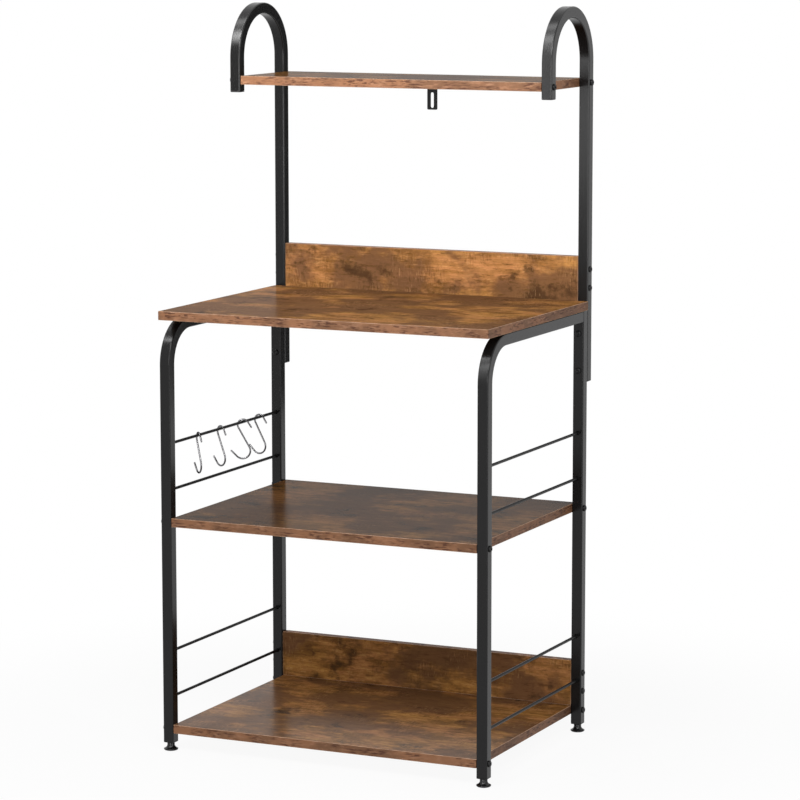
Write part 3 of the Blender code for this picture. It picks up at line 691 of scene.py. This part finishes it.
def fitted_bolt(name, seat, outward, *nodes, mesh=BOLT):
    """Put a bolt on the stand with its head's underside on the seat and its head pointing outward."""
    bolt = placed(name, mesh)
    turn = Vector((0, 0, 1)).rotation_difference(Vector(outward)).to_matrix().to_4x4()
    bolt.matrix_world = Matrix.Translation(seat) @ turn
    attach(bolt, "stand")
    if nodes:
        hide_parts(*nodes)


for side, sign in SIDES:
    for shelf, front_y, rear_y in (
        ("bottom_shelf", FRONT_LEG_Y, REAR_POST_Y),
        ("middle_shelf", FRONT_LEG_Y, REAR_POST_Y),
        ("top_shelf", CANE_FRONT_Y, CANE_Y),
    ):
        low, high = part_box(shelf)
        for end, y in (("front", front_y), ("rear", rear_y)):
            seat = (sign * (FRAME_X + TUBE / 2 + FIT_GAP), y, (low.z + high.z) / 2)
            fitted_bolt(f"screw_{shelf}_{side}_{end}", seat, (sign, 0, 0), f"{shelf}_bolt_{side}_{end}")
    for back_board, y in (("lower_back_board", REAR_POST_Y), ("upper_back_board", CANE_Y)):
        low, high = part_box(back_board)
        for number, rise in enumerate(BACK_BOLT_RISES, start=1):
            seat = (sign * (FRAME_X + TUBE / 2 - FIT_GAP), y, low.z + rise)
            fitted_bolt(f"screw_{back_board}_{side}_{number}", seat, (sign, 0, 0))
    for number, height in enumerate(CANE_BOLT_HEIGHTS, start=1):
        seat = (sign * FRAME_X, REAR_POST_Y - TUBE / 2 - FIT_GAP, height)
        fitted_bolt(f"screw_cane_{side}_{number}", seat, (0, -1, 0), f"hutch_tube_bolt_{side}_{number}")
    for number, y in enumerate(RAIL_SCREW_DEPTHS, start=1):
        seat = (sign * FRAME_X, y, RAIL_TOP - TUBE_WALL)
        fitted_bolt(f"screw_worktop_{side}_{number}", seat, (0, 0, -1), mesh=SHORT_BOLT)

# Wall bracket. A 2 mm steel strap, cut with a slot for a wall screw, bent once and screwed up into the top
# shelf's rear edge with one pan-head screw. Powder coated like the tubes.

STRAP_WIDTH = 0.0188
STRAP_THICKNESS = 0.002
STRAP_DROP = 0.0458
STRAP_REACH = 0.024
STRAP_BEND = 0.0028
STRAP_BEND_STEPS = 8
STRAP_CORNER = 0.002
STRAP_CORNER_STEPS = 4
STRAP_EASE = 0.00025
STRAP_TOP = 1.1153
STRAP_BACK = 0.223
SLOT_WIDTH = 0.0063
SLOT_LENGTH = 0.027
SLOT_MARGIN = 0.0031
SLOT_STEPS = 16
PAN_HEAD_RADIUS = 0.0038
PAN_HEAD_HEIGHT = 0.0022
PAN_HEAD_RIM = 0.0007
PAN_HEAD_FLAT = 0.45
PAN_HEAD_STEPS = 5
SCREW_RADIUS = 0.0017
SCREW_LENGTH = 0.010
SCREW_TIP = 0.003
CROSS_RECESS = ((0.0014, 0), (0.0009, 0.0012), (AXIS_RADIUS, 0.0014))
CROSS_PINCH = 0.35


def strap():
    """The strap from its lower end up to the bend and forward under the shelf, without its slot."""
    half, thick = STRAP_WIDTH / 2, STRAP_THICKNESS
    line = []
    for turn in quarter_turns(STRAP_CORNER_STEPS):
        height = STRAP_TOP - STRAP_DROP + STRAP_CORNER * (1 - math.cos(turn))
        line.append((STRAP_BACK - thick / 2, height, 0.0, half - STRAP_CORNER * (1 - math.sin(turn))))
    middle = STRAP_BEND - thick / 2
    for turn in quarter_turns(STRAP_BEND_STEPS):
        y = STRAP_BACK - STRAP_BEND + middle * math.cos(turn)
        line.append((y, STRAP_TOP - STRAP_BEND + middle * math.sin(turn), turn, half))
    line.append((STRAP_BACK - STRAP_REACH, STRAP_TOP - thick / 2, math.radians(90), half))
    rings = []
    for y, z, turn, reach in line:
        upper = [(reach, thick / 2 - STRAP_EASE), (reach - STRAP_EASE, thick / 2)]
        upper += [(-a, b) for a, b in reversed(upper)]
        section = upper + [(-a, -b) for a, b in upper]
        rings.append([(a, y + b * math.cos(turn), z + b * math.sin(turn)) for a, b in section])
    return skin("wall_strap", rings, closed=True)


def slot_cutter():
    """A bar through the strap with the slot's round-ended outline."""
    radius = SLOT_WIDTH / 2
    low = STRAP_TOP - STRAP_DROP + SLOT_MARGIN + radius
    outline = []
    for height, start in ((low + SLOT_LENGTH - SLOT_WIDTH, 0), (low, math.pi)):
        for step in range(SLOT_STEPS + 1):
            turn = start + math.pi * step / SLOT_STEPS
            outline.append((radius * math.cos(turn), height + radius * math.sin(turn)))
    ends = (STRAP_BACK - 3 * STRAP_THICKNESS, STRAP_BACK + STRAP_THICKNESS)
    return skin("slot", [[(a, y, b) for a, b in outline] for y in ends], closed=True)


def strap_screw():
    """The screw with its head's top on the plane z = 0, its head hanging below and its shank above."""
    profile = [(AXIS_RADIUS, SCREW_LENGTH), (SCREW_RADIUS, SCREW_LENGTH - SCREW_TIP), (SCREW_RADIUS, 0)]
    profile.append((PAN_HEAD_RADIUS, 0))
    for turn in quarter_turns(PAN_HEAD_STEPS):
        radius = PAN_HEAD_RADIUS * (PAN_HEAD_FLAT + (1 - PAN_HEAD_FLAT) * math.cos(turn))
        profile.append((radius, -PAN_HEAD_RIM - (PAN_HEAD_HEIGHT - PAN_HEAD_RIM) * math.sin(turn)))
    rings = [ring_of(radius, height, BOLT_SIDES) for radius, height in profile]
    for radius, depth in CROSS_RECESS:
        cross = []
        for x, y, z in ring_of(radius, depth - PAN_HEAD_HEIGHT, BOLT_SIDES):
            pinch = CROSS_PINCH + (1 - CROSS_PINCH) * abs(math.cos(2 * math.atan2(y, x)))
            cross.append((x * pinch, y * pinch, z))
        rings.append(cross)
    screw = skin("strap_screw", rings, closed=True)
    screw.set_sharp_from_angle(angle=SHARP_TURNED)
    return screw


slotted = worked(strap(), cutters=[slot_cutter()])
fitted("wall_strap", slotted, BLACK_COAT, "stand", "powder_coated_steel", "wall_bracket")

low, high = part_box("wall_bracket_screw")
screw = strap_screw()
seat = Vector(((low.x + high.x) / 2, (low.y + high.y) / 2, STRAP_TOP - STRAP_THICKNESS - FIT_GAP))
screw.transform(Matrix.Translation(seat))
fitted("strap_screw", screw, BLACK_OXIDE, "stand", "black_bolt", "wall_bracket_screw", flats=False)

# Levelling feet. A black plastic plug closes each leg's lower end and carries a threaded hole. A bright
# zinc-plated M8 stud screws into it, with a flared black plastic foot moulded onto its lower end.

PLUG_FLANGE = 0.0015
PLUG_ROUNDING = ((0, 0.0012), (0.0002, 0.0005), (0.0006, 0))
PLUG_DEPTH = 0.015
PLUG_HOLE = 0.0043
HOLE_CHAMFER = 0.0004
STUD_RADIUS = 0.004
STUD_LOW = 0.0049
STUD_HIGH = 0.0334
THREAD_PITCH = 0.00125
THREAD_DEPTH = 0.0007
THREAD_CREST = 1.25
THREAD_STEPS = 8
THREAD_SIDES = 24
PAD_FOOT = ((0.0093, 0), (0.0106, 0.0004), (0.0116, 0.0010), (0.0121, 0.0016))
PAD_RIM = ((0.0123, 0.0022), (0.0123, 0.0028), (0.01215, 0.0032), (0.0118, 0.0035))
PAD_NECK = 0.0064
PAD_FLARE = ((0.0118, 0.0035), (0.0074, 0.0050), (PAD_NECK, 0.0092))
PAD_FLARE_STEPS = 8
PAD_TOP = 0.0139
PAD_EASE = 0.0004
PAD_SOCKET = 0.0046
PAD_SIDES = 40
SHARP_MOULDED = math.radians(50)


def zinc(place):
    """Bright zinc with a cloudy passivated film."""
    cloud = place.noise(320, 3)
    colour = cloud.blend((0.42, 0.43, 0.46), (0.66, 0.66, 0.64))
    return {
        "Base Color": colour,
        "Metallic": 1.0,
        "Roughness": 0.22 + cloud * 0.16,
        "Normal": place.bump(cloud, 0.00002),
    }


BRIGHT_ZINC = finish("bright_zinc_steel", zinc)


def plug_mesh():
    """A hollow skin: rounded flange, the square body inside the leg and the hole down through both."""
    levels = [(rise - PLUG_FLANGE, TUBE - narrower) for rise, narrower in PLUG_ROUNDING]
    levels += [(0, TUBE), (0, CAP_BODY), (PLUG_DEPTH, CAP_BODY)]
    rings = [square_ring(height, side) for height, side in levels]
    turns = [math.atan2(b, a) for a, b in tube_outline()]
    for height, radius in (
        (PLUG_DEPTH, PLUG_HOLE),
        (HOLE_CHAMFER - PLUG_FLANGE, PLUG_HOLE),
        (-PLUG_FLANGE, PLUG_HOLE + HOLE_CHAMFER),
    ):
        rings.append([(radius * math.cos(turn), radius * math.sin(turn), height) for turn in turns])
    mesh = skin("leg_plug", rings, looped=True)
    mesh.set_sharp_from_angle(angle=SHARP_MOULDED)
    return mesh


def stud_mesh():
    """A threaded rod whose thread fades out at both ends."""
    length = STUD_HIGH - STUD_LOW
    steps = round(length / THREAD_PITCH * THREAD_STEPS)
    rings = []
    for step in range(steps + 1):
        height = STUD_LOW + length * step / steps
        fade = min(1, (height - STUD_LOW) / THREAD_PITCH, (STUD_HIGH - height) / THREAD_PITCH)
        ring = []
        for side in range(THREAD_SIDES):
            turn = math.tau * side / THREAD_SIDES
            phase = (height / THREAD_PITCH - side / THREAD_SIDES) % 1
            crest = min(1, THREAD_CREST * (1 - abs(2 * phase - 1)))
            radius = STUD_RADIUS - THREAD_DEPTH * (1 - crest * fade)
            ring.append((radius * math.cos(turn), radius * math.sin(turn), height))
        rings.append(ring)
    return skin("foot_thread", rings, closed=True)


def pad_mesh():
    """Undercut foot, rounded rim, hollow flare and neck, with the socket that grips the stud."""
    profile = [(AXIS_RADIUS, 0), *PAD_FOOT, *PAD_RIM]
    start, pull, end = [Vector(point) for point in PAD_FLARE]
    for step in range(1, PAD_FLARE_STEPS + 1):
        share = step / PAD_FLARE_STEPS
        profile.append(start.lerp(pull, share).lerp(pull.lerp(end, share), share))
    profile += [(PAD_NECK, PAD_TOP - PAD_EASE), (PAD_NECK - PAD_EASE, PAD_TOP), (PLUG_HOLE, PAD_TOP)]
    profile += [(PLUG_HOLE, PAD_SOCKET), (AXIS_RADIUS, PAD_SOCKET)]
    rings = [ring_of(radius, height, PAD_SIDES) for radius, height in profile]
    mesh = skin("foot_flare", rings, closed=True)
    mesh.set_sharp_from_angle(angle=SHARP_MOULDED)
    return mesh


for side, sign in SIDES:
    for end, y in (("front", FRONT_LEG_Y), ("rear", REAR_POST_Y)):
        where = f"{side}_{end}"
        seat = LEG_BOTTOM - FIT_GAP
        for name, mesh, height, coat, slot, body, node in (
            ("plug", plug_mesh(), seat, BLACK_PLASTIC, "black_plastic", "stand", f"leg_plug_{where}"),
            ("thread", stud_mesh(), 0, BRIGHT_ZINC, "zinc_steel", f"stud_{where}", f"foot_stud_{where}"),
            ("flare", pad_mesh(), 0, BLACK_PLASTIC, "black_plastic", f"pad_{where}", f"foot_pad_{where}"),
        ):
            mesh.transform(Matrix.Translation((sign * FRAME_X, y, height)))
            fitted(f"{name}_{where}", mesh, coat, body, slot, node, flats=False)

# S-hooks. Four hooks of 3 mm chromed steel wire with rounded ends, hung on the left frame's uppermost rod.
# Each is bent in one plane and tilts until its weight hangs under the rod.

WIRE_RADIUS = 0.0015
UPPER_LOOP = 0.0097
LOWER_LOOP = 0.0138
LOOP_CENTRES = 0.046
UPPER_TIP = 0.0125
LOWER_TIP = 0.0155
UPPER_OPEN = math.radians(35)
LOWER_OPEN = math.radians(47)
LOOP_STEPS = 40
HOOK_SIDES = 20
TIP_TURNS = (0.05, 0.35, 0.7, 1.1, math.pi / 2)
HOOK_PLACE_SHARES = (0.2754, 0.4644, 0.6593, 0.8051)
HOOK_YAWS = (math.radians(-42), math.radians(-26.5), math.radians(22), math.radians(-6))


def chrome(place):
    """Bright chromium plate, with faint drawing marks in the wire."""
    drawn = place.noise(260, 2)
    colour = drawn.blend((0.10, 0.10, 0.105), (0.24, 0.24, 0.245))
    return {
        "Base Color": colour,
        "Metallic": 1.0,
        "Roughness": 0.06 + drawn * 0.06,
        "Normal": place.bump(drawn, 0.000006),
        "Specular Tint": (0.05, 0.05, 0.055, 1),
    }


CHROME = finish("bright_chromium", chrome)


def arc(up, radius, start, end):
    """Points of a loop round a middle this far up, from one angle to another."""
    turns = [start + (end - start) * step / LOOP_STEPS for step in range(LOOP_STEPS + 1)]
    return [Vector((radius * math.cos(turn), up + radius * math.sin(turn))) for turn in turns]


def hook_wire():
    """The wire's middle line in its own plane, from the rod's middle, turned until it hangs in balance."""
    lean = math.acos((UPPER_LOOP + LOWER_LOOP) / LOOP_CENTRES)
    line = arc(0, UPPER_LOOP, UPPER_OPEN, math.radians(270) - lean)
    line += arc(-LOOP_CENTRES, LOWER_LOOP, math.radians(90) - lean, LOWER_OPEN - math.pi)
    line.insert(0, line[0] + Vector((math.sin(UPPER_OPEN), -math.cos(UPPER_OPEN))) * UPPER_TIP)
    line.append(line[-1] + Vector((-math.sin(LOWER_OPEN), math.cos(LOWER_OPEN))) * LOWER_TIP)
    moment = Vector((0, 0))
    for start, end in zip(line, line[1:]):
        moment += (end - start).length * (start + end)
    balance = Matrix.Rotation(-math.atan2(moment.x, -moment.y), 2)
    seat = Vector((0, UPPER_LOOP - WIRE_RADIUS - FIT_GAP - ROD_RADIUS))
    return [balance @ point - seat for point in line]


def hook_mesh(name, seat, yaw):
    """A hook on the rod's middle line at the seat, turned by yaw about the upright, with domed tips."""
    wire = hook_wire()
    domes = []
    for tip, after in ((wire[0], wire[1]), (wire[-1], wire[-2])):
        inward = (after - tip).normalized() * WIRE_RADIUS
        domes.append([(tip + inward * (1 - math.cos(t)), WIRE_RADIUS * math.sin(t)) for t in TIP_TURNS])
    line = domes[0] + [(point, WIRE_RADIUS) for point in wire[1:-1]] + domes[1][::-1]
    spots = [(point.x * math.cos(yaw), point.x * math.sin(yaw), point.y) for point, _ in line]
    mesh = bar(name, spots, [radius for _, radius in line], HOOK_SIDES)
    mesh.transform(Matrix.Translation(seat))
    return mesh


low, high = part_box("left_guard_rod_4")
rod = (low + high) / 2
frame_front = FRONT_LEG_Y - TUBE / 2
frame_depth = REAR_POST_Y + TUBE / 2 - frame_front
for number, (share, yaw) in enumerate(zip(HOOK_PLACE_SHARES, HOOK_YAWS), start=1):
    hook = hook_mesh(f"wire_hook_{number}", (rod.x, frame_front + share * frame_depth, rod.z), yaw)
    fitted(hook.name, hook, CHROME, f"hook_{number}", "chrome_wire", f"s_hook_{number}", flats=False)

# Studio. A pale floor that looks white but keeps a soft shadow round the stand, white surroundings and
# nine soft lamps. A dark card stands behind on the right, where only reflections see it: it darkens the
# left hutch tube's inner side.

FLOOR_REACH = 30
SHADOW_SHARE = 0.07
SHADOW_REACH = (0.5, 1.2)
SKY_LIGHT = 0.2
CARD_PLACE = 1.0
CARD_X = (-0.02, 0.45)
CARD_Z = (0.40, 1.50)
CARD_LIGHT = 0.06
WHITE = (1, 1, 1, 1)
PALE = (0.8, 0.8, 0.8, 1)
CAMERA_AZIMUTH = math.radians(24.873)
CAMERA_ELEVATION = math.radians(8.3327)
CAMERA_ROLL = math.radians(-0.0336)
CAMERA_DISTANCE = 5.6536
CAMERA_TARGET = Vector((0.0517, -0.0236, 0.5964))
FOCUS_IN_PIXELS = 3359.41
PICTURE_WIDTH = 800
SENSOR_WIDTH = 36


def seen_directly(start):
    """1 for rays that show the surroundings themselves, as the camera, mirrors and glass do."""
    rays = [f"Is {kind} Ray" for kind in ("Camera", "Glossy", "Transmission")]
    camera, mirror, glass = [start.node("ShaderNodeLightPath", {}, {}, output=ray) for ray in rays]
    return start.maths("MAXIMUM", start.maths("MAXIMUM", camera, mirror), glass)


def sheet(name, corners, material):
    """A flat sheet between four corners."""
    mesh = bpy.data.meshes.new(name)
    mesh.from_pydata(corners, [], [(0, 1, 2, 3)])
    mesh.materials.append(material)
    return placed(name, mesh)


pale = bpy.data.materials.new("pale_floor")
start = first_wire(pale)
matt = start.node("ShaderNodeBsdfDiffuse", {}, {"Color": PALE})
lit = start.node("ShaderNodeEmission", {}, {"Color": WHITE, "Strength": 1.0})
place = start.node("ShaderNodeTexCoord", {}, {}, output="Object")
away = start.node("ShaderNodeVectorMath", {"operation": "LENGTH"}, {0: place}, output="Value")
clean = 1 - SHADOW_SHARE + away.between(*SHADOW_REACH) * SHADOW_SHARE
shown = start.node("ShaderNodeMixShader", {}, {0: clean, 1: matt, 2: lit})
mixed = start.node("ShaderNodeMixShader", {}, {0: seen_directly(start), 1: matt, 2: shown})
start.node("ShaderNodeOutputMaterial", {}, {"Surface": mixed})
corners = [(a * FLOOR_REACH, b * FLOOR_REACH, 0) for a, b in ((-1, -1), (1, -1), (1, 1), (-1, 1))]
floor = sheet("floor", corners, pale)

dark = bpy.data.materials.new("dark_card")
start = first_wire(dark)
glow = start.node("ShaderNodeEmission", {}, {"Color": WHITE, "Strength": CARD_LIGHT})
start.node("ShaderNodeOutputMaterial", {}, {"Surface": glow})
(left, right), (low, high) = CARD_X, CARD_Z
corners = [(x, CARD_PLACE, z) for x, z in ((left, low), (right, low), (right, high), (left, high))]
card = sheet("dark_card", corners, dark)
card.visible_camera = False
card.visible_diffuse = False
card.visible_transmission = False
card.visible_shadow = False

world = bpy.data.worlds.new("studio")
bpy.context.scene.world = world
start = first_wire(world)
strength = start.maths("MAXIMUM", seen_directly(start), SKY_LIGHT)
sky = start.node("ShaderNodeBackground", {}, {"Color": WHITE, "Strength": strength})
start.node("ShaderNodeOutputWorld", {}, {"Surface": sky})

# Each lamp's name, its place, the point it faces, its width and height, its power in watts and how wide it
# shines in degrees.
for name, spot, aim, size, power, spread in (
    ("left_softbox", (-0.45, -3.00, 2.90), (0, 0, 0.7), (0.9, 0.9), 46, 180),
    ("right_softbox", (1.60, -2.60, 3.00), (0, 0, 0.7), (1.2, 1.2), 46, 180),
    ("right_strip", (1.95, -1.22, 1.15), (0, 0, 1.15), (0.35, 2.2), 14, 180),
    ("front_fill", (0.3, -3.8, 1.1), (0, 0, 0.6), (1.6, 1.2), 34, 180),
    ("left_cane_lamp", (-0.79, -0.67, 2.02), (-0.29, 0.05, 1.20), (0.20, 0.80), 0.80, 40),
    ("right_cane_lamp", (-0.21, -0.67, 2.02), (0.29, 0.05, 1.20), (0.20, 0.90), 0.46, 40),
    ("left_cane_panel", (-0.70, -0.08, 2.12), (-0.29, 0.05, 1.20), (0.25, 0.6), 3.0, 180),
    ("right_cane_panel", (-0.13, -0.12, 2.12), (0.29, 0.05, 1.20), (0.25, 0.6), 3.0, 180),
    ("right_cane_card", (-0.21, -1.04, 1.22), (0.29, 0.05, 1.20), (0.20, 0.75), 1.8, 180),
):
    lamp = bpy.data.lights.new(name, "AREA")
    lamp.shape = "RECTANGLE"
    lamp.size, lamp.size_y = size
    lamp.energy = power
    lamp.spread = math.radians(spread)
    light = placed(name, lamp)
    light.location = spot
    light.rotation_euler = (Vector(aim) - Vector(spot)).to_track_quat("-Z", "Y").to_euler()

back = Vector(
    (
        math.sin(CAMERA_AZIMUTH) * math.cos(CAMERA_ELEVATION),
        -math.cos(CAMERA_AZIMUTH) * math.cos(CAMERA_ELEVATION),
        math.sin(CAMERA_ELEVATION),
    )
)
camera = placed("camera", bpy.data.cameras.new("camera"))
camera.data.sensor_width = SENSOR_WIDTH
camera.data.lens = FOCUS_IN_PIXELS / PICTURE_WIDTH * SENSOR_WIDTH
camera.location = CAMERA_TARGET + back * CAMERA_DISTANCE
turn = back.to_track_quat("Z", "Y").to_matrix() @ Matrix.Rotation(CAMERA_ROLL, 3, "Z")
camera.rotation_euler = turn.to_euler()
bpy.context.scene.camera = camera
bpy.context.scene.view_settings.view_transform = "Standard"
